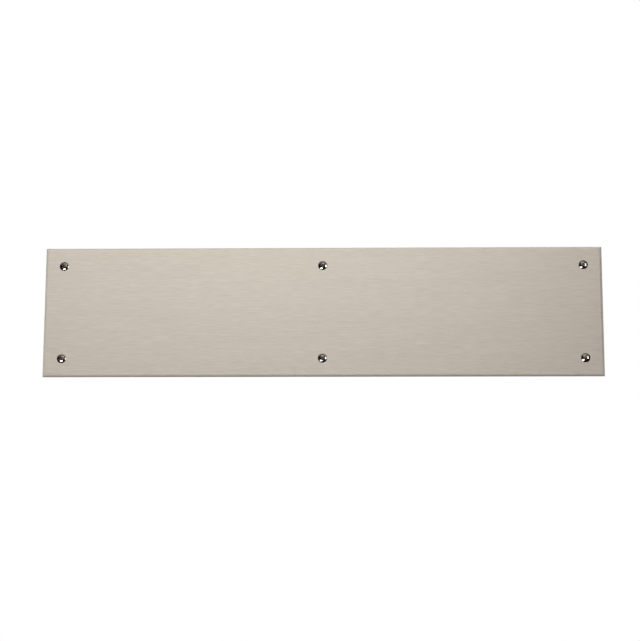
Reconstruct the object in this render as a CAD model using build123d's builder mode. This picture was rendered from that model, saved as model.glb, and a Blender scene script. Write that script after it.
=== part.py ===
"""Kick plate: a flat metal sheet that screws to the foot of a door.

Millimetres. X runs along the plate, Z is up and the front faces -Y. The origin is the centre of the
back face, the one that lies against the door.
"""

import os
from math import radians, tan

from build123d import *

# ---------------------------------------------------------------- driving dimensions

INCH = 25.4

plate_width = 34 * INCH
plate_height = 8 * INCH
plate_thickness = INCH / 8
corner_radius = 1.2
back_edge_ease = 0.25

# The front edges slope down gently before they turn the corner.
bevel_width = 2.6
bevel_depth = 1.0
bevel_blend_radius = 6.0

hole_columns = 3
hole_rows = 2
hole_inset = 1.125 * INCH
hole_radius = 5.0

# Oval-head wood screw. Its lengths run along its axis from the rim of the head.
head_radius = 7.1
head_rise = 2.15
head_angle = 82
head_rim_ease = 0.12
shank_radius = 3.4
plain_shank_end = 11.5
screw_length = 1.25 * INCH
point_length = 7.5
point_tip_radius = 0.25

# Wood-screw thread: one tapering ridge, nine turns to the inch, its foot buried in the core.
thread_pitch = INCH / 9
thread_root_radius = 2.45
thread_crest_radius = 3.35
thread_crest_width = 0.3
thread_foot_radius = 2.0
thread_foot_width = 1.65
thread_end_inset = 0.5

# Cross recess: its mouth is measured at the top of the dome and narrows towards its floor.
recess_depth = 3.3
recess_mouth_span = 8.1
recess_mouth_wing = 1.5
recess_floor_span = 3.4
recess_floor_wing = 0.9
recess_core_depth = 3.9
recess_core_mouth_radius = 1.8
recess_core_floor_radius = 0.4

# The screw's cone stands this far off the countersink, measured on the radius.
countersink_clearance = 0.08

# Column, row and the angle at which each screw stopped when it was driven home.
screw_places = {
    "screw_top_left": (-1, 1, 52),
    "screw_top_middle": (0, 1, 18),
    "screw_top_right": (1, 1, 71),
    "screw_bottom_left": (-1, -1, 36),
    "screw_bottom_middle": (0, -1, 63),
    "screw_bottom_right": (1, -1, 9),
}

# ---------------------------------------------------------------- worked out from those

column_pitch = (plate_width - 2 * hole_inset) / (hole_columns - 1)
row_pitch = (plate_height - 2 * hole_inset) / (hole_rows - 1)

dome_radius = (head_radius**2 + head_rise**2) / (2 * head_rise)
cone_length = (head_radius - shank_radius) / tan(radians(head_angle / 2))
thread_shoulder = plain_shank_end + shank_radius - thread_root_radius
thread_start = plain_shank_end + thread_end_inset
thread_length = screw_length - thread_start - thread_end_inset

# The point's cone, carried on up until it is wide enough to clear the head.
trim_radius = head_radius + 1
trim_slope = (thread_crest_radius - point_tip_radius) / point_length
trim_start = screw_length - (trim_radius - point_tip_radius) / trim_slope

door_plane = Plane.XZ
front_plane = door_plane.offset(plate_thickness)

# ---------------------------------------------------------------- the plate

with BuildPart() as plate:
    with BuildSketch(door_plane):
        Rectangle(plate_width, plate_height)
    extrude(amount=plate_thickness)

    # Front edges: a bevel blended into the face, so that light rolls off it.
    front_face = plate.faces().sort_by(Axis.Y).first
    chamfer(front_face.edges(), length=bevel_width, length2=bevel_depth, reference=front_face)
    bevel_crease = plate.faces().sort_by(Axis.Y).first.edges()
    fillet(bevel_crease, radius=bevel_blend_radius)

    # Corners and the back's arris.
    fillet(plate.edges().filter_by(Axis.Y), radius=corner_radius)
    back_face = plate.faces().sort_by(Axis.Y).last
    chamfer(back_face.edges(), length=back_edge_ease)

    with Locations(front_plane):
        with GridLocations(column_pitch, row_pitch, hole_columns, hole_rows):
            CounterSinkHole(
                radius=hole_radius,
                counter_sink_radius=head_radius + countersink_clearance,
                counter_sink_angle=head_angle,
            )

# ---------------------------------------------------------------- the screw, point down, rim at z = 0

with BuildPart() as screw:
    # Blank: domed head, cone, plain shank and thread core, turned as one profile.
    with BuildSketch(Plane.XZ):
        with BuildLine():
            RadiusArc((0, head_rise), (head_radius, 0), dome_radius)
            Polyline(
                (head_radius, 0),
                (shank_radius, -cone_length),
                (shank_radius, -plain_shank_end),
                (thread_root_radius, -thread_shoulder),
                (thread_root_radius, -screw_length),
                (0, -screw_length),
                (0, head_rise),
            )
        make_face()
    revolve(axis=Axis.Z)
    rim = screw.edges().filter_by(Plane.XY).sort_by(SortBy.RADIUS).last
    fillet(rim, radius=head_rim_ease)

    # Thread: a ridge wound up the core from just above its end.
    thread_foot = Vector(0, 0, -thread_start - thread_length)
    with BuildLine():
        helix = Helix(
            pitch=thread_pitch,
            height=thread_length,
            radius=thread_foot_radius,
            center=thread_foot,
        )
    thread_height = thread_crest_radius - thread_foot_radius
    outward = helix @ 0 - thread_foot
    with BuildSketch(Plane(origin=helix @ 0, x_dir=outward, z_dir=helix % 0)):
        with BuildLine():
            Polyline(
                (0, -thread_foot_width / 2),
                (thread_height, -thread_crest_width / 2),
                (thread_height, thread_crest_width / 2),
                (0, thread_foot_width / 2),
                close=True,
            )
        make_face()
    sweep(path=helix, is_frenet=True)

    # Point: core and ridge run out together on one cone.
    with BuildSketch(Plane.XZ):
        with BuildLine():
            Polyline(
                (0, head_rise + 1),
                (trim_radius, head_rise + 1),
                (trim_radius, -trim_start),
                (point_tip_radius, -screw_length),
                (0, -screw_length),
                close=True,
            )
        make_face()
    revolve(axis=Axis.Z, mode=Mode.INTERSECT)

    # Cross recess: two tapering wings and a round core where they meet.
    head_top = Plane.XY.offset(head_rise)
    for wing_turn in (0, 90):
        with BuildSketch(head_top):
            Rectangle(recess_mouth_span, recess_mouth_wing, rotation=wing_turn)
        with BuildSketch(head_top.offset(-recess_depth)):
            Rectangle(recess_floor_span, recess_floor_wing, rotation=wing_turn)
        loft(mode=Mode.SUBTRACT)
    with BuildSketch(head_top):
        Circle(recess_core_mouth_radius)
    with BuildSketch(head_top.offset(-recess_core_depth)):
        Circle(recess_core_floor_radius)
    loft(mode=Mode.SUBTRACT)

# ---------------------------------------------------------------- write each piece

os.makedirs("parts", exist_ok=True)

plate.part.label = "plate"
export_step(plate.part, "parts/plate.step")

for name, (column, row, turn) in screw_places.items():
    with BuildPart(front_plane) as driven_screw:
        with Locations((column * column_pitch, row * row_pitch / 2)):
            add(screw.part, rotation=(0, 0, turn))
    driven_screw.part.label = name
    export_step(driven_screw.part, f"parts/{name}.step")
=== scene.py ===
# %% [markdown]
# # A satin nickel kick plate
# A kick plate is a flat metal sheet that is screwed to the foot of a door, where shoes would
# otherwise scuff the wood. This lesson dresses its engineering model for a studio picture. The
# model comes in as a fixed frame: the plate and its six screws, each a body of its own.

# %% Start from the fixed frame
import math

import bmesh
import bpy
import numpy as np
from mathutils import Matrix, Vector


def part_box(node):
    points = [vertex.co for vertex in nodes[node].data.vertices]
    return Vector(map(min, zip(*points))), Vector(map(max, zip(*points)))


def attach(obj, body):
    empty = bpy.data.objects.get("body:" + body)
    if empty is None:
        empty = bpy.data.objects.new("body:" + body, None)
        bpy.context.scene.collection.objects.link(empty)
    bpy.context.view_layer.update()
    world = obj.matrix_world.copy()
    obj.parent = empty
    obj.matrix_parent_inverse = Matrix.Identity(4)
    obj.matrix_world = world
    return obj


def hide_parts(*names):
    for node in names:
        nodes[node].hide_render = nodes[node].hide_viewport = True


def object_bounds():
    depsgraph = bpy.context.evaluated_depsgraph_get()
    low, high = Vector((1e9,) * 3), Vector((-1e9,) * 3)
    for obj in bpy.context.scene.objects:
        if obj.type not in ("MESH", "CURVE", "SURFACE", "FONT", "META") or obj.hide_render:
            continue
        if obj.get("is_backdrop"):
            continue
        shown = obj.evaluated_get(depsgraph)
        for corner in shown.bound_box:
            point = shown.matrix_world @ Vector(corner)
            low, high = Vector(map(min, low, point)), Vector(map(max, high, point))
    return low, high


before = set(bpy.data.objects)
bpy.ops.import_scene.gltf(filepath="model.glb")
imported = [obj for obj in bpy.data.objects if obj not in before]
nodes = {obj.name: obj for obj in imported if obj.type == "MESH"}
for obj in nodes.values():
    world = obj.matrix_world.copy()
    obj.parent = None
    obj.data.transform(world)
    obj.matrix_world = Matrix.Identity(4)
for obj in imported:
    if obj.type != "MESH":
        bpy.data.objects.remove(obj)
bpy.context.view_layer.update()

# %% [markdown]
# ## Sizes
# Everything is in metres. The outline, the thickness and the places of the screws are read from
# the frame, so the looks can't drift away from the engineering model. The rest are the shapes of
# the edges and of an oval-head wood screw with a cross recess, written once here.

# %% Sizes of the plate and its holes
MM = 0.001

plate_low, plate_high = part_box("plate")
half_width = plate_high.x
half_height = plate_high.z
thickness = -plate_low.y

corner_radius = 1.2 * MM
bevel_width = 2.6 * MM
bevel_depth = 1.0 * MM
hole_radius = 5.0 * MM
clearance = 0.08 * MM
print("plate:", half_width * 2, half_height * 2, thickness)

# %% Sizes of a screw
head_radius = 7.1 * MM
head_rise = 2.15 * MM
head_half_angle = math.radians(41)
cone_slope = math.tan(head_half_angle)
shank_radius = 3.4 * MM
screw_length = 31.75 * MM
cone_length = (head_radius - shank_radius) / cone_slope
print("cone under the head in mm:", round(cone_length / MM, 2))

# %% Places of the screws
# Column and row of each screw, and the angle at which it stopped when it was driven home.
hole_inset = 28.575 * MM
columns = (np.array([-1, 0, 1]) * (half_width - hole_inset)).tolist()
rows = (np.array([-1, 1]) * (half_height - hole_inset)).tolist()
SCREWS = {
    "screw_top_left": (0, 1, 52),
    "screw_top_middle": (1, 1, 18),
    "screw_top_right": (2, 1, 71),
    "screw_bottom_left": (0, 0, 36),
    "screw_bottom_middle": (1, 0, 63),
    "screw_bottom_right": (2, 0, 9),
}
screw_middles = {name: (columns[c], rows[r]) for name, (c, r, _) in SCREWS.items()}
for name, (x, z) in screw_middles.items():
    low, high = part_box(name)
    off_x, off_z = x - (low.x + high.x) / 2, z - (low.z + high.z) / 2
    print(name, "off its engineering piece by mm:", round(off_x / MM, 3), round(off_z / MM, 3))

# %% [markdown]
# ## From grids of points to a closed mesh
# Each piece below is a set of patches, and each patch is a grid of points worked out by a formula
# as whole arrays. Neighbouring patches share their edge points, so they can be welded by merging
# the points that lie together. That is simpler than keeping count of indices by hand, and it
# closes seams and poles at the same time. Rounding the coordinates to find the shared points is
# less safe: two copies of one point can fall on either side of a rounding step.


# %% The quads of a grid of points
def quads_of(down, across):
    """Corner numbers of the quads in a grid that is so many points down and so many across."""
    index = np.arange(down * across).reshape(down, across)
    corners = (index[:-1, :-1], index[:-1, 1:], index[1:, 1:], index[1:, :-1])
    return np.stack([c.ravel() for c in corners], axis=1)


# %% Weld patches of points into one mesh
WELD_DISTANCE = 0.001 * MM


def welded_mesh(name, patches, sharp_angle=35):
    """A mesh from grids of points (down, across, 3), with points that lie together made one. Its
    faces are turned outwards: a closed mesh whose signed volume is negative is inside out."""
    points, quads, start = [], [], 0
    for patch in patches:
        down, across = patch.shape[:2]
        points.append(patch.reshape(-1, 3))
        quads.append(quads_of(down, across) + start)
        start += down * across
    mesh = bpy.data.meshes.new(name)
    mesh.from_pydata(np.concatenate(points), [], np.concatenate(quads).tolist())
    weld = bmesh.new()
    weld.from_mesh(mesh)
    bmesh.ops.remove_doubles(weld, verts=weld.verts, dist=WELD_DISTANCE)
    bmesh.ops.recalc_face_normals(weld, faces=weld.faces)
    if weld.calc_volume(signed=True) < 0:
        bmesh.ops.reverse_faces(weld, faces=weld.faces)
    open_edges = sum(not edge.is_manifold for edge in weld.edges)
    volume = weld.calc_volume(signed=True)
    weld.to_mesh(mesh)
    weld.free()
    mesh.shade_smooth()
    mesh.set_sharp_from_angle(angle=math.radians(sharp_angle))
    print(name, len(mesh.polygons), "faces, open edges:", open_edges,
          "volume in mm3:", round(volume / MM**3, 1))
    return mesh


# %% Make a mesh into a piece of the object
def piece(mesh, body, replaced):
    """An object at the origin that rides on a body and stands for its engineering piece."""
    made = bpy.data.objects.new(mesh.name, mesh)
    bpy.context.scene.collection.objects.link(made)
    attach(made, body)
    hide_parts(replaced)
    return made


# %% [markdown]
# Real edges are never perfectly sharp: sawing, buffing and plating round them all. A profile is
# therefore written as corners with the size of their rounding, and each corner is replaced by a
# short curve that starts and ends that far from it.


# %% Round the corners of a profile
def rounded_profile(corners, steps=4):
    """Points along a profile of (across, along, ease): each corner that has an ease becomes a
    curve (1-t)^2 a + 2t(1-t) corner + t^2 b, with a and b at that distance on either side."""
    spots = np.array([c[:2] for c in corners], float)
    eases = [c[2] for c in corners]
    t = np.linspace(0, 1, steps + 1)[:, None]
    out = []
    for i, (spot, ease) in enumerate(zip(spots, eases)):
        if ease == 0:
            out.append(spot[None])
            continue
        before, after = spots[i - 1] - spot, spots[i + 1] - spot
        a = spot + before / np.linalg.norm(before) * ease
        b = spot + after / np.linalg.norm(after) * ease
        out.append((1 - t) ** 2 * a + 2 * t * (1 - t) * spot + t**2 * b)
    return np.concatenate(out)


# %% [markdown]
# ## The plate
# The real plate is sheared from 1/8 in brass sheet, bevelled along its front edges, drilled and
# countersunk, brushed lengthwise and then nickel plated. A cube with a Bevel modifier and boolean
# holes would give the outline, but boolean cuts leave long thin faces that shade badly on metal.
# Here the face is a grid of lines instead, with a square left free at each hole and filled with
# rings that turn from a circle into the square. The edge is a profile carried round the outline.

# %% Lines of the plate's grid
face_inset = 4.2 * MM
patch_half = 12 * MM
PATCH_STEPS = 16
corner_steps = np.array([0, 0.2, 0.4, 0.6, 0.8, 1.0, 1.25, 2.0, 3.5, 6.0]) * MM


def grid_lines(half, hole_places, spacing):
    """Places of the grid's lines from -half to half: close together at the ends and across the
    holes, and evenly spaced in between."""
    edges = [-half + corner_steps, half - corner_steps[::-1]]
    for place in sorted(hole_places):
        edges.append(place + np.linspace(-patch_half, patch_half, PATCH_STEPS + 1))
    edges.sort(key=lambda line: line[0])
    lines = [edges[0]]
    for line in edges[1:]:
        gap = line[0] - lines[-1][-1]
        count = max(1, round(gap / spacing))
        lines.append(np.linspace(lines[-1][-1], line[0], count + 1)[1:-1])
        lines.append(line)
    return np.concatenate(lines)


lines_x = grid_lines(half_width - face_inset, columns, spacing=9 * MM)
lines_z = grid_lines(half_height - face_inset, rows, spacing=6 * MM)
print("grid lines:", len(lines_x), "by", len(lines_z))


# %% Flat faces with squares left free at the holes
def cuts_at(lines, places):
    """Numbers of the lines where the free squares begin and end, with the first and the last."""
    ends = [place + side for place in places for side in (-patch_half, patch_half)]
    return [0] + [int(np.argmin(abs(lines - end))) for end in ends] + [len(lines) - 1]


def flat_patches(y):
    """The grid's cells at depth y, as oblongs between the cuts. Where an odd one across meets an
    odd one up, a hole's square is left free."""
    patches = []
    cuts_x, cuts_z = cuts_at(lines_x, columns), cuts_at(lines_z, rows)
    for i in range(len(cuts_x) - 1):
        for k in range(len(cuts_z) - 1):
            if i % 2 and k % 2:
                continue
            x = lines_x[cuts_x[i]:cuts_x[i + 1] + 1]
            z = lines_z[cuts_z[k]:cuts_z[k + 1] + 1]
            grid_x, grid_z = np.meshgrid(x, z, indexing="ij")
            patches.append(np.stack([grid_x, np.full_like(grid_x, y), grid_z], axis=-1))
    return patches


# %% Fill a free square with a countersunk hole
BLEND_RINGS = 4
rim_ease, land_ease, back_rim_ease = 0.16 * MM, 0.05 * MM, 0.1 * MM
front_rings = (1.2 * MM, 0.4 * MM)
back_rings = (0.5 * MM, 1.5 * MM)


def square_outline():
    """Points round a square of half-size patch_half, where the grid's lines meet it."""
    side = np.linspace(-patch_half, patch_half, PATCH_STEPS + 1)
    end = np.full(PATCH_STEPS, patch_half)
    x = np.concatenate([side[:-1], end, side[:0:-1], -end, side[:1]])
    z = np.concatenate([-end, side[:-1], end, side[:0:-1], -end[:1]])
    return np.stack([x, z], axis=-1)


def hole_patch(middle):
    """One hole, front to back: rings from the front's square to the countersink's rim, down its
    cone and the short straight land, and out again to the back's square."""
    square = square_outline()
    round_it = square / np.linalg.norm(square, axis=1, keepdims=True)
    rim = head_radius + clearance
    land = -thickness + (rim - hole_radius) / cone_slope
    profile = rounded_profile([
        *((rim + ring, -thickness, 0) for ring in front_rings),
        (rim, -thickness, rim_ease),
        (hole_radius, land, land_ease),
        (hole_radius, 0, back_rim_ease),
        *((hole_radius + ring, 0, 0) for ring in back_rings)])
    rings = round_it[None] * profile[:, :1, None]
    depth = np.broadcast_to(profile[:, 1:, None], rings.shape[:2] + (1,))
    blend = np.linspace(0, 1, BLEND_RINGS + 1)[1:, None, None]
    front = rings[0] + (square - rings[0]) * blend[::-1]
    back = rings[-1] + (square - rings[-1]) * blend
    across = np.concatenate([front, rings, back])
    depths = np.concatenate([np.full(front.shape[:2] + (1,), -thickness), depth,
                             np.zeros(back.shape[:2] + (1,))])
    x, z = across[..., :1] + middle[0], across[..., 1:] + middle[1]
    return np.concatenate([x, depths, z], axis=-1)


# %% The profile of the plate's edge
# The bevel doesn't end in a line: the belt blends it into the face over a millimetre or so.
belt_blend = 1.11 * MM
lip_inset = 0.5 * MM
lip_depth = -thickness + bevel_depth / bevel_width * (bevel_width - lip_inset)
front_edge_ease, back_edge_ease = 0.2 * MM, 0.25 * MM
edge_profile = rounded_profile([
    (face_inset, -thickness, 0),
    (bevel_width + 1.3 * MM, -thickness, 0),
    (bevel_width, -thickness, belt_blend),
    (lip_inset, lip_depth, 0),
    (0, -thickness + bevel_depth, front_edge_ease),
    (0, -thickness / 2, 0),
    (0, -0.9 * MM, 0),
    (0, 0, back_edge_ease),
    (0.9 * MM, 0, 0),
    (face_inset, 0, 0)], steps=6)
print("points on the edge's profile:", len(edge_profile))


# %% Carry the profile round the outline
LEAST_RADIUS = 0.02 * MM
TINY = 1e-12


def outline_shares():
    """Points round the outline as (u, w) from -1 to 1, at the ends of the grid's lines."""
    inset_x, inset_z = lines_x - lines_x[0], lines_z - lines_z[0]
    share_x, share_z = inset_x / inset_x[-1] * 2 - 1, inset_z / inset_z[-1] * 2 - 1
    one_x, one_z = np.ones(len(lines_x) - 1), np.ones(len(lines_z) - 1)
    u = np.concatenate([share_x[:-1], one_z, share_x[:0:-1], -one_z, share_x[:1]])
    w = np.concatenate([-one_x, share_z[:-1], one_x, share_z[:0:-1], -one_x[:1]])
    return np.stack([u, w], axis=-1)


def edge_patch():
    """The edge: a profile of (inset, depth) carried round the outline. A point on the sharp
    rectangle that lies past an arc's centre is pulled onto the arc, so corners come out round."""
    inset = edge_profile[:, :1]
    half = np.stack([half_width - inset, half_height - inset], axis=-1)
    flat = outline_shares()[None] * half
    radius = np.maximum(corner_radius - inset, LEAST_RADIUS)[..., None]
    centre = half - radius
    past = np.maximum(np.abs(flat) - centre, 0)
    length = np.maximum(np.linalg.norm(past, axis=-1, keepdims=True), TINY)
    in_corner = (past[..., :1] > 0) & (past[..., 1:] > 0)
    turned = np.sign(flat) * (centre + radius * past / length)
    spot = np.where(in_corner & (inset < corner_radius)[..., None], turned, flat)
    depth = np.broadcast_to(edge_profile[:, 1:, None], spot.shape[:2] + (1,))
    return np.concatenate([spot[..., :1], depth, spot[..., 1:]], axis=-1)


# %% Put the plate together
plate_patches = flat_patches(-thickness) + flat_patches(0.0) + [edge_patch()]
plate_patches += [hole_patch((x, z)) for x in columns for z in rows]
plate = piece(welded_mesh("brushed_plate", plate_patches), "plate", "plate")

# %% [markdown]
# ## The cross recess
# The driver's cross is stamped into the head: four tapering wings round a deeper core. Seen from
# the front, its outline can be followed as one closed curve, an eighth of it at a time: half of a
# wing's blunt end, the wing's side, then a piece of the core's circle. The mouth and the floor
# are the same curve at two sizes, and the walls run straight from one to the other.

# %% The outline of a cross recess
END_STEPS, SIDE_STEPS, CORE_STEPS = 4, 4, 4

# A wing's side meets the core's circle at this angle or before it, so that an arc is left.
latest_meet = math.pi / 5


def cross_outline(span, wing, core):
    """The cross as (points, 2), counter-clockwise from the end of the first wing. An eighth is
    a blunt end x = (span - wing) + wing sqrt(cos a), y = wing sqrt(sin a), the straight side
    y = wing, and the core's arc from where it meets that side to the diagonal."""
    angle = np.linspace(0, math.pi / 2, END_STEPS + 1)
    end = np.stack([span - wing + wing * np.sqrt(abs(np.cos(angle))),
                    wing * np.sqrt(np.sin(angle))], axis=-1)
    meet = math.asin(min(wing / core, math.sin(latest_meet)))
    inner = core * math.cos(meet)
    side_x = np.linspace(end[-1, 0], inner, SIDE_STEPS + 1)[1:-1]
    side = np.stack([side_x, np.full_like(side_x, wing)], axis=-1)
    bow = np.linspace(meet, math.pi / 4, CORE_STEPS + 1)
    arc = core * np.stack([np.cos(bow), np.sin(bow)], axis=-1)
    eighth = np.concatenate([end, side, arc])
    quarter = np.concatenate([eighth, eighth[-2:0:-1, ::-1]])
    # The other three quarters are the first one, turned by a right angle each time.
    turns = [quarter]
    for _ in range(3):
        last = turns[-1]
        turns.append(np.stack([-last[:, 1], last[:, 0]], axis=-1))
    outline = np.concatenate(turns)
    return np.concatenate([outline, outline[:1]])


# %% The dome and the walls of the recess
dome_radius = (head_radius**2 + head_rise**2) / (2 * head_rise)
recess_depth = 3.3 * MM
DOME_TRIES = 12

# Span of the wings, half width of a wing and radius of the core.
mouth_sizes = (4.05 * MM, 0.75 * MM, 1.8 * MM)
floor_sizes = (1.7 * MM, 0.45 * MM, 0.64 * MM)
around = len(cross_outline(*mouth_sizes)) - 1
print("points round a head:", around)


def dome_height(distance):
    """Height of the domed head above its rim: sqrt(R^2 - d^2) - (R - rise)."""
    return np.sqrt(dome_radius**2 - distance**2) - (dome_radius - head_rise)


def recess_wall(grow, share):
    """Points on the recess's wall, grown sideways by grow, at a share of its depth: the mouth's
    outline times (1 - share) plus the floor's times share."""
    mouth = cross_outline(*(size + grow for size in mouth_sizes))
    floor = cross_outline(*(size + grow for size in floor_sizes))
    spot = mouth * (1 - share) + floor * share
    height = np.broadcast_to(head_rise - recess_depth * share, spot[:, :1].shape)
    return np.concatenate([spot, height], axis=-1)


def on_dome(grow):
    """Where that wall meets the dome: its share of the depth is found by stepping towards it."""
    share = np.zeros((around + 1, 1))
    for _ in range(DOME_TRIES):
        spot = recess_wall(grow, share)
        distance = np.linalg.norm(spot[:, :2], axis=1, keepdims=True)
        share = (head_rise - dome_height(distance)) / recess_depth
    return recess_wall(grow, share), share


# %% [markdown]
# ## The screw
# A wood screw is headed and threaded from wire. It has a domed head over an 82 degree cone, a
# plain shank about as wide as the thread's crest, then a core with one ridge wound round it, all
# running out to a gimlet point.
# The thread could be a Screw modifier on a small profile, but its ends would need trimming by
# hand. As a radius that depends on the angle and the height, r = core + ridge, it fades in at the
# shank and out at the point by itself.

# %% Sizes of the thread
THREADS_PER_INCH = 9
RINGS_PER_TURN = 30
pitch = 25.4 * MM / THREADS_PER_INCH
thread_start = 11.5 * MM
point_start = screw_length - 7.5 * MM
core_at_tip, core_growth, core_power = 0.08 * MM, 2.37 * MM, 0.92
crest_at_tip, crest_growth = 0.24 * MM, 3.1 * MM
shoulder_end = thread_start + 1.3 * MM
ridge_from, ridge_full = thread_start + 0.4 * MM, thread_start + 2.4 * MM
ridge_top, ridge_foot = 0.06, 0.27
tip_share = 0.1
print("pitch in mm:", round(pitch / MM, 3))


# %% The thread
def smooth_step(low, high, value):
    """0 below low, 1 above high, and 3t^2 - 2t^3 in between."""
    t = np.clip((value - low) / (high - low), 0, 1)
    return t * t * (3 - 2 * t)


def thread_rings(angles):
    """The threaded length as (rings, around, 3). r = core(z) + height(z) ridge(phase), where the
    phase is how far a point lies from the ridge's middle, measured along the screw in pitches. The
    ridge is 1 out to ridge_top and 0 beyond ridge_foot."""
    down = np.arange(thread_start, screw_length, pitch / RINGS_PER_TURN)
    down = np.append(down, screw_length)[:, None]
    left = np.clip((screw_length - down) / (screw_length - point_start), 0, 1)
    core = core_at_tip + core_growth * left**core_power
    crest = crest_at_tip + crest_growth * left
    shoulder = 1 - smooth_step(thread_start, shoulder_end, down)
    core = core + (shank_radius - core) * shoulder
    phase = np.abs((down / pitch + angles[None] / (2 * math.pi) + 0.5) % 1 - 0.5)
    ridge = 1 - smooth_step(ridge_top, ridge_foot, phase)
    fade_in = smooth_step(ridge_from, ridge_full, down)
    fade_out = smooth_step(0, tip_share, left)
    height = np.maximum(crest - core, 0) * fade_in * fade_out
    radius = core + height * ridge
    return np.stack([radius * np.cos(angles), radius * np.sin(angles),
                     np.broadcast_to(-down, radius.shape)], axis=-1)


# %% The head, from the bottom of the recess to the rim
lip_size = 0.14 * MM
rim_inset = 0.12 * MM
WALL_RINGS, LIP_RINGS, DOME_RINGS = 8, 5, 14

# Radius and height of the rings in the core's blunt bottom.
recess_floor = head_rise - recess_depth
core_rings = (
    (0, head_rise - 4.0 * MM),
    (0.2 * MM, head_rise - 3.98 * MM),
    (0.4 * MM, head_rise - 3.9 * MM),
    (0.5 * MM, recess_floor - 0.3 * MM),
    (0.6 * MM, recess_floor - 0.02 * MM))


def ring_of(radius, height, angles):
    """A level circle of points: radius (cos a, sin a) at one height."""
    return np.stack([radius * np.cos(angles), radius * np.sin(angles),
                     np.full_like(angles, height)], axis=-1)


def head_rings(angles):
    """The recess's core and wall, the curve (1-t)^2 inside + 2t(1-t) edge + t^2 outside over its
    lip, and the dome, where the rings turn from the cross into a circle."""
    core = np.stack([ring_of(r, z, angles) for r, z in core_rings])
    edge, edge_share = on_dome(0)
    outside, _ = on_dome(lip_size)
    lip_share = edge_share + lip_size / recess_depth
    inside = recess_wall(0, lip_share)
    t = np.linspace(0, 1, LIP_RINGS + 1)[:, None, None]
    lip = (1 - t) ** 2 * inside + 2 * t * (1 - t) * edge + t**2 * outside
    wall = np.stack([recess_wall(0, share + (1 - share) * lip_share)
                     for share in np.linspace(1, 0, WALL_RINGS + 1)[:-1]])
    out = np.linspace(0, 1, DOME_RINGS + 1)[1:, None, None]
    dome = outside + (ring_of(head_radius - rim_inset, 0, angles) - outside) * out
    dome[..., 2] = dome_height(np.linalg.norm(dome[..., :2], axis=-1))
    return np.concatenate([core, wall, lip, dome])


# %% The whole screw
head_edge_ease, neck_ease = 0.1 * MM, 0.6 * MM
cone_top, cone_foot = 1 * MM, 1.2 * MM
body_profile = rounded_profile([
    (head_radius, 0, head_edge_ease),
    (head_radius - cone_top, -cone_top / cone_slope, 0),
    (shank_radius + cone_foot, -cone_length + cone_foot / cone_slope, 0),
    (shank_radius, -cone_length, neck_ease),
    (shank_radius, -6.5 * MM, 0),
    (shank_radius, -9 * MM, 0)])


def screw_surface():
    """The whole screw as rings (rings, around, 3), from the recess's core out over the dome, down
    the cone and the shank, and along the thread to the tip. Point down, rim of the head at z 0."""
    angles = np.linspace(0, 2 * math.pi, around + 1)
    body = np.stack([ring_of(r, z, angles) for r, z in body_profile])
    tip = ring_of(0, -screw_length, angles)[None]
    rings = np.concatenate([head_rings(angles), body, thread_rings(angles), tip])
    rings[:, -1] = rings[:, 0]
    return rings


screw_rings = screw_surface()
print("rings on a screw:", len(screw_rings))


# %% Put the six screws in place
def placed(rings, middle, turn):
    """The rings turned about their axis and laid down, so that the head faces the front: their own
    x, y and z become x, z and -y, and the head's rim lies in the plate's front face."""
    c, s = math.cos(math.radians(turn)), math.sin(math.radians(turn))
    x = rings[..., 0] * c - rings[..., 1] * s
    z = rings[..., 0] * s + rings[..., 1] * c
    return np.stack([x + middle[0], -thickness - rings[..., 2], z + middle[1]], axis=-1)


# %% [markdown]
# A finish often follows the shape: dull deep in a recess, greyer on a thread. Deep in the recess
# the colour is also painted darker, which is painted shade. The shape is known best while it is
# being made, so the two distances that the finish and the painted shade need are kept on the
# points as attributes. Painting them by hand would have to be done again after each change.

# %% Values on the points for the finish and the painted shade to read
recess_reach = 4.4 * MM
recess_bottom = 3 * MM


def add_wear_and_shade_marks(mesh, middle):
    """Two values on each point, both in metres: how far it lies below the head's rim, and how far
    it is sunk under the dome within the recess, which is 0 everywhere else."""
    spots = np.zeros(len(mesh.vertices) * 3, np.float32)
    mesh.vertices.foreach_get("co", spots)
    spots = spots.reshape(-1, 3)
    across = np.hypot(spots[:, 0] - middle[0], spots[:, 2] - middle[1])
    below = spots[:, 1] + thickness
    dome = dome_height(np.minimum(across, head_radius))
    sunk = np.where(across < recess_reach, np.clip(dome + below, 0, None), 0)
    sunk = np.where(below > recess_bottom, 0, sunk)
    for name, values in (("below_rim", below), ("sunk_in_recess", sunk)):
        layer = mesh.attributes.new(name, "FLOAT", "POINT")
        layer.data.foreach_set("value", values.astype(np.float32))


# %% The six screws
screws = {}
for name, (_, _, turn) in SCREWS.items():
    mesh = welded_mesh(name.replace("screw", "wood_screw"),
                       [placed(screw_rings, screw_middles[name], turn)], sharp_angle=50)
    add_wear_and_shade_marks(mesh, screw_middles[name])
    screws[name] = piece(mesh, name, name)

# %% [markdown]
# ## Writing shader maths as sums
# A material is a graph of nodes, but its maths is easier to read as an expression. This small
# class wraps one output socket, so that `1 - mask * 0.3` adds the Math nodes for it. Every other
# kind of node comes from its one method, node().


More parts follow.
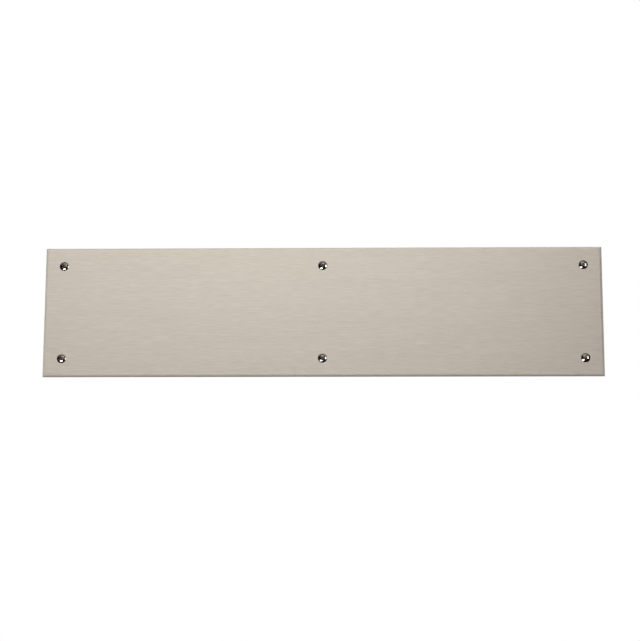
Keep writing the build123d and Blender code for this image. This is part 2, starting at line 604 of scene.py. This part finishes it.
# %% A socket that can be added and multiplied
class Wire:
    """One output in a material's graph. Arithmetic on it adds Math nodes."""

    def __init__(self, socket):
        self.socket = socket
        self.tree = socket.id_data

    def node(self, kind, settings=None, inputs=None, output=0):
        """Any node: its type, its settings, which are set first, then the values or wires of its
        sockets. Returns one of its outputs."""
        made = self.tree.nodes.new(kind)
        for key, value in (settings or {}).items():
            setattr(made, key, value)
        for key, value in (inputs or {}).items():
            if isinstance(value, Wire):
                self.tree.links.new(value.socket, made.inputs[key])
            else:
                made.inputs[key].default_value = value
        return Wire(made.outputs[output])

    def maths(self, operation, first, second):
        """One Math node on two wires or numbers."""
        return self.node("ShaderNodeMath", {"operation": operation}, {0: first, 1: second})

    def __add__(self, other):
        return self.maths("ADD", self, other)

    def __radd__(self, other):
        return self.maths("ADD", other, self)

    def __sub__(self, other):
        return self.maths("SUBTRACT", self, other)

    def __rsub__(self, other):
        return self.maths("SUBTRACT", other, self)

    def __mul__(self, other):
        return self.maths("MULTIPLY", self, other)

    def __rmul__(self, other):
        return self.maths("MULTIPLY", other, self)


# %% [markdown]
# A few patterns are used again and again, so each gets a short name: a smooth step from one value
# to another, a mix of two colours, a place with its axes drawn out, noise at a place, and bump.


# %% Short names for common patterns
def step_between(value, low, high):
    """0 below low, 1 above high, with a smooth step in between."""
    return value.node("ShaderNodeMapRange", {"interpolation_type": "SMOOTHSTEP"},
                      {"Value": value, "From Min": low, "From Max": high})


def mixed(factor, first, second):
    """Two colours mixed by a factor, which the Mix node holds between 0 and 1."""
    return factor.node("ShaderNodeMix", {"data_type": "RGBA"},
                       {0: factor, 6: first, 7: second}, output=2)


def stretched(place, scale, turn=(0, 0, 0)):
    """The place with each axis multiplied by its own number. A small number on one axis draws a
    pattern out along it."""
    return place.node("ShaderNodeMapping", {}, {"Vector": place, "Scale": scale, "Rotation": turn})


def noise(place, detail=3.0, roughness=0.6):
    """Noise whose lumps are about one unit of the place across, from 0 to 1."""
    return place.node("ShaderNodeTexNoise", {}, {
        "Vector": place, "Scale": 1.0, "Detail": detail, "Roughness": roughness})


def bump(height, strength, distance):
    """A normal that is tilted by a height, for a shader's Normal socket."""
    return height.node("ShaderNodeBump", {}, {
        "Strength": strength, "Distance": distance, "Height": height})


# %% Start a metal and feed its shader
def new_metal(name):
    """A metal with nothing on it yet: the material, its shader's sockets, and Object coordinates
    to draw patterns with."""
    material = bpy.data.materials.new(name)
    material.use_nodes = True
    shader = material.node_tree.nodes["Principled BSDF"]
    shader.inputs["Metallic"].default_value = 1.0
    place = Wire(shader.outputs[0]).node("ShaderNodeTexCoord", output=3)
    return material, shader.inputs, place


def feed(sockets, wires):
    """Links each wire to the shader's socket of that name."""
    for name, wire in wires.items():
        wire.tree.links.new(wire.socket, sockets[name])


# %% [markdown]
# ## Satin nickel
# The satin look comes from an abrasive belt run along the plate before it is plated. Each grit
# leaves a scratch some centimetres long and a few thousandths of a millimetre deep, so light
# spreads much more across the grain than along it. An image of scratches would repeat. Noise that
# is drawn out along the plate gives the same streaks at any length, at three sizes: long soft
# bands, streaks that the eye can just pick out, and the fine grain that only shows close up.

# %% The belt's marks
satin, satin_sockets, place = new_metal("satin_nickel")
wander = noise(stretched(place, (18, 18, 18)), detail=2.0)
sway = wander.node("ShaderNodeCombineXYZ", {}, {"Z": (wander - 0.5) * (2.2 * MM)})
along = place.node("ShaderNodeVectorMath", {"operation": "ADD"}, {0: place, 1: sway})
bands = noise(stretched(along, (5, 60, 150)))
streaks = noise(stretched(along, (42, 300, 660)), detail=3.5)
fine_grain = noise(stretched(along, (160, 1500, 5200)))
clouds = noise(stretched(place, (9, 9, 9)))

# %% [markdown]
# The marks tint the colour a little, change the roughness a little, and dent the surface. The
# back was never meant to be seen: it is a touch duller, with faint stains from handling. One
# number, the shader's Anisotropy, is the same all over and spreads the shine across the grain.

# %% The plate's colour, roughness and relief
light_nickel, dark_nickel = (0.655, 0.594, 0.521, 1), (0.560, 0.504, 0.437, 1)
stain_brown = (0.400, 0.335, 0.262, 1)
tone = (bands - 0.5) * 0.7 + (streaks - 0.5) * 2.6 + (clouds - 0.5) * 0.35
depth = place.node("ShaderNodeSeparateXYZ", {}, {"Vector": place}, output=1)
on_back = step_between(depth, -0.6 * MM, -0.05 * MM)
stains = step_between(noise(stretched(place, (34, 34, 34)), detail=4.0), 0.42, 0.75) * on_back
nickel = mixed(0.5 - tone, light_nickel, dark_nickel)
dents = fine_grain * 0.5 + streaks + bands * 0.6
feed(satin_sockets, {
    "Base Color": mixed(stains * 0.14, nickel, stain_brown),
    "Roughness": 0.40 + (streaks - 0.5) * 0.10 + (clouds - 0.5) * 0.06 + on_back * 0.05,
    "Normal": bump(dents, strength=0.5, distance=0.12 * MM)})
satin_sockets["Anisotropic"].default_value = 0.35
plate.data.materials.append(satin)
print("satin nickel nodes:", len(satin.node_tree.nodes))

# %% [markdown]
# ## Polished nickel
# The screws are plated as a batch and left bright. Polished metal shows whatever is round it, so
# its detail is in small things: hairlines on the dome, a driver's rub marks at the mouth of the
# cross, a dull floor where no polish reaches, and the greyer, rolled surface of shank and thread.
# The recess is also painted darker, towards a dark brown, as painted shade. The marks stored on
# each point say where the recess and the shank are.

# %% Where the screw is polished, rubbed, dull or painted with shade
bright, bright_sockets, place = new_metal("polished_nickel")
below = place.node("ShaderNodeAttribute", {"attribute_name": "below_rim"}, output=2)
sunk = place.node("ShaderNodeAttribute", {"attribute_name": "sunk_in_recess"}, output=2)
# Deep in the recess: this mask drives the painted shade in the colour and the dull floor's
# roughness.
in_recess = step_between(sunk, 0.2 * MM, 2.2 * MM)
at_mouth = step_between(sunk, 0.01 * MM, 0.1 * MM) * (1 - step_between(sunk, 0.1 * MM, 0.7 * MM))
on_shank = step_between(below, 0.8 * MM, 3.5 * MM)
hairlines = noise(stretched(place, (2600, 900, 500), (0, 0.6, 0)))
crossing = noise(stretched(place, (500, 900, 3000), (0, 0.25, 0)))
rolled = noise(stretched(place, (300, 2200, 300)))
spots = noise(stretched(place, (420, 420, 420)))

# %% The screws' colour with painted shade in the recess, roughness and relief
bright_nickel, clouded_nickel = (0.690, 0.640, 0.575, 1), (0.560, 0.505, 0.435, 1)
# The second colour on the next line is painted shade for the recess, not a colour of the nickel.
rolled_grey, painted_recess_shade = (0.470, 0.440, 0.390, 1), (0.200, 0.180, 0.150, 1)
shine = mixed(step_between(spots, 0.45, 0.8) * 0.25, bright_nickel, clouded_nickel)
shine = mixed(on_shank * 0.5 * step_between(rolled, 0.3, 0.75), shine, rolled_grey)
rub = step_between(hairlines, 0.5, 0.8) * 0.05 + step_between(crossing, 0.55, 0.8) * 0.05
dents = hairlines * 0.3 + crossing * 0.3 + spots * 0.2 + rolled * on_shank * 1.5
feed(bright_sockets, {
    # The recess is mixed towards dark brown here: painted shade. Its raised roughness below is the
    # real dull floor.
    "Base Color": mixed(in_recess * 0.45, shine, painted_recess_shade),
    "Roughness": (0.07 + rub + in_recess * 0.25 + at_mouth * 0.12
                  + on_shank * (0.16 + rolled * 0.18)),
    "Normal": bump(dents, strength=0.1, distance=0.03 * MM)})
for screw in screws.values():
    screw.data.materials.append(bright)
print("polished nickel nodes:", len(bright.node_tree.nodes))

# %% [markdown]
# The engineering pieces stay in the file. They aren't shown, but they get the
# same finishes, in case someone shows them.

# %% Finishes for the engineering pieces
for name, node in nodes.items():
    node.data.materials.clear()
    node.data.materials.append(satin if name == "plate" else bright)

# %% [markdown]
# ## The studio
# A pale floor lies well below the plate, and the room is white. Metal shows its surroundings, so
# these are arranged with care: the satin plate wants broad soft panels for an even sheen, while
# the polished heads look best in a dark room with two small soft boxes that leave bright marks.
# In a real studio black flags keep the panels off the heads. Here light linking does it.

# %% Floor
floor_mesh = bpy.data.meshes.new("floor")
reach, floor_level = 30.0, -1.4
corners = [(x * reach, z * reach, floor_level) for x, z in ((-1, -1), (1, -1), (1, 1), (-1, 1))]
floor_mesh.from_pydata(corners, [], [(0, 1, 2, 3)])
floor = bpy.data.objects.new("floor", floor_mesh)
bpy.context.scene.collection.objects.link(floor)
pale = bpy.data.materials.new("pale_floor")
pale.use_nodes = True
pale_sockets = pale.node_tree.nodes["Principled BSDF"].inputs
pale_sockets["Base Color"].default_value = (0.98, 0.98, 0.98, 1)
pale_sockets["Roughness"].default_value = 0.9
pale_sockets["Specular IOR Level"].default_value = 0.0
floor_mesh.materials.append(pale)
floor.visible_glossy = False
floor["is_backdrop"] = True
print("floor lies", -floor_level, "m below the plate's middle")

# %% [markdown]
# The room is plain white to the camera and to the floor. What the metal mirrors is another
# matter: in front a dark room with a faint grey ceiling, and behind the plate a bright one.

# %% The room
room = bpy.data.worlds.new("white_room")
bpy.context.scene.world = room
room.use_nodes = True
backdrop = room.node_tree.nodes["Background"]
start = Wire(backdrop.outputs[0])
direction = start.node("ShaderNodeTexCoord")
toward_back = start.node("ShaderNodeSeparateXYZ", {}, {"Vector": direction}, output=1)
upward = start.node("ShaderNodeSeparateXYZ", {}, {"Vector": direction}, output=2)
darkness, grey, near_floor, overhead = 0.012, 0.15, 0.58, 0.62
ceiling = step_between(upward, 0.35, 0.8) * grey
behind = near_floor + step_between(upward, -0.35, 0.7) * overhead
mirrored = darkness + ceiling + step_between(toward_back, -0.15, 0.5) * behind
is_mirrored = start.node("ShaderNodeLightPath", output=3)
feed(backdrop.inputs, {"Strength": mirrored * is_mirrored + (1 - is_mirrored)})
backdrop.inputs["Color"].default_value = (1, 1, 1, 1)
print("room nodes:", len(room.node_tree.nodes))


# %% [markdown]
# Each light is a plain rectangle aimed at the plate's middle. Its power is worked out from how
# bright it should look, so a light can be made larger without getting brighter in reflections.

# %% A soft light, and what it reaches
centre = Vector((0, 0, 0))


def soft_light(name, spot, width, height, radiance, lit):
    """A rectangular light of even brightness: power = radiance x area x pi."""
    lamp = bpy.data.lights.new(name, "AREA")
    lamp.shape, lamp.size, lamp.size_y = "RECTANGLE", width, height
    lamp.energy = radiance * width * height * math.pi
    made = bpy.data.objects.new(name, lamp)
    bpy.context.scene.collection.objects.link(made)
    made.location = spot
    made.rotation_euler = (centre - Vector(spot)).to_track_quat("-Z", "Y").to_euler()
    made.visible_camera = False
    made.light_linking.receiver_collection = lit


def only(name, members):
    """A collection of the only objects that a light reaches."""
    made = bpy.data.collections.new(name)
    for member in members:
        made.objects.link(member)
    return made


# %% The lights
sheet_only = only("lit_by_panels", (plate, floor))
heads_only = only("lit_by_boxes", (*screws.values(), floor))

# Name, place, width, height, radiance and what it lights.
LIGHTS = (
    ("low_box", (-0.56, -1.50, -0.80), 0.95, 0.40, 6.0, heads_only),
    ("side_box", (1.28, -1.28, 0.26), 0.48, 0.85, 4.0, heads_only),
    ("grey_card", (0.12, -2.1, 1.20), 1.7, 2.0, 0.38, heads_only),
    ("key_panel", (-0.20, -2.2, 0.95), 2.2, 1.5, 1.46, sheet_only),
    ("top_panel", (-0.1, -1.25, 2.1), 2.6, 0.9, 1.3, sheet_only),
    ("left_panel", (-2.1, -1.50, 0.20), 1.2, 2.0, 1.10, sheet_only),
    ("right_panel", (2.1, -1.5, 0.45), 1.2, 2.0, 0.78, sheet_only),
    ("low_panel", (-0.30, -2.0, -0.66), 3.6, 1.4, 0.71, sheet_only),
)
for light in LIGHTS:
    soft_light(*light)

# %% [markdown]
# ## The camera
# A long lens from a little below the plate keeps its edges nearly parallel. The camera looks at a
# point just left of and below the plate's middle, and is turned by a hair about its own line.

# %% Camera
distance = 2.720
azimuth, elevation, roll = (math.radians(angle) for angle in (1.733, -11.236, 0.186))
target = Vector((-0.0040, 0.0, -0.01335))
back = Vector((math.sin(azimuth) * math.cos(elevation),
               -math.cos(azimuth) * math.cos(elevation),
               math.sin(elevation)))
camera = bpy.data.objects.new("camera", bpy.data.cameras.new("camera"))
camera.data.lens, camera.data.sensor_width = 99.0, 36.0
camera.data.sensor_fit = "HORIZONTAL"
level = (-back).to_track_quat("-Z", "Y").to_matrix()
camera.location = target + back * distance
camera.rotation_euler = (level @ Matrix.Rotation(roll, 3, "Z")).to_euler()
camera.data.clip_end = 100
bpy.context.scene.collection.objects.link(camera)
bpy.context.scene.camera = camera
bpy.context.scene.view_settings.view_transform = "Standard"
print("camera at", [round(v, 3) for v in camera.location])

# %% The size of what is shown
low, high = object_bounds()
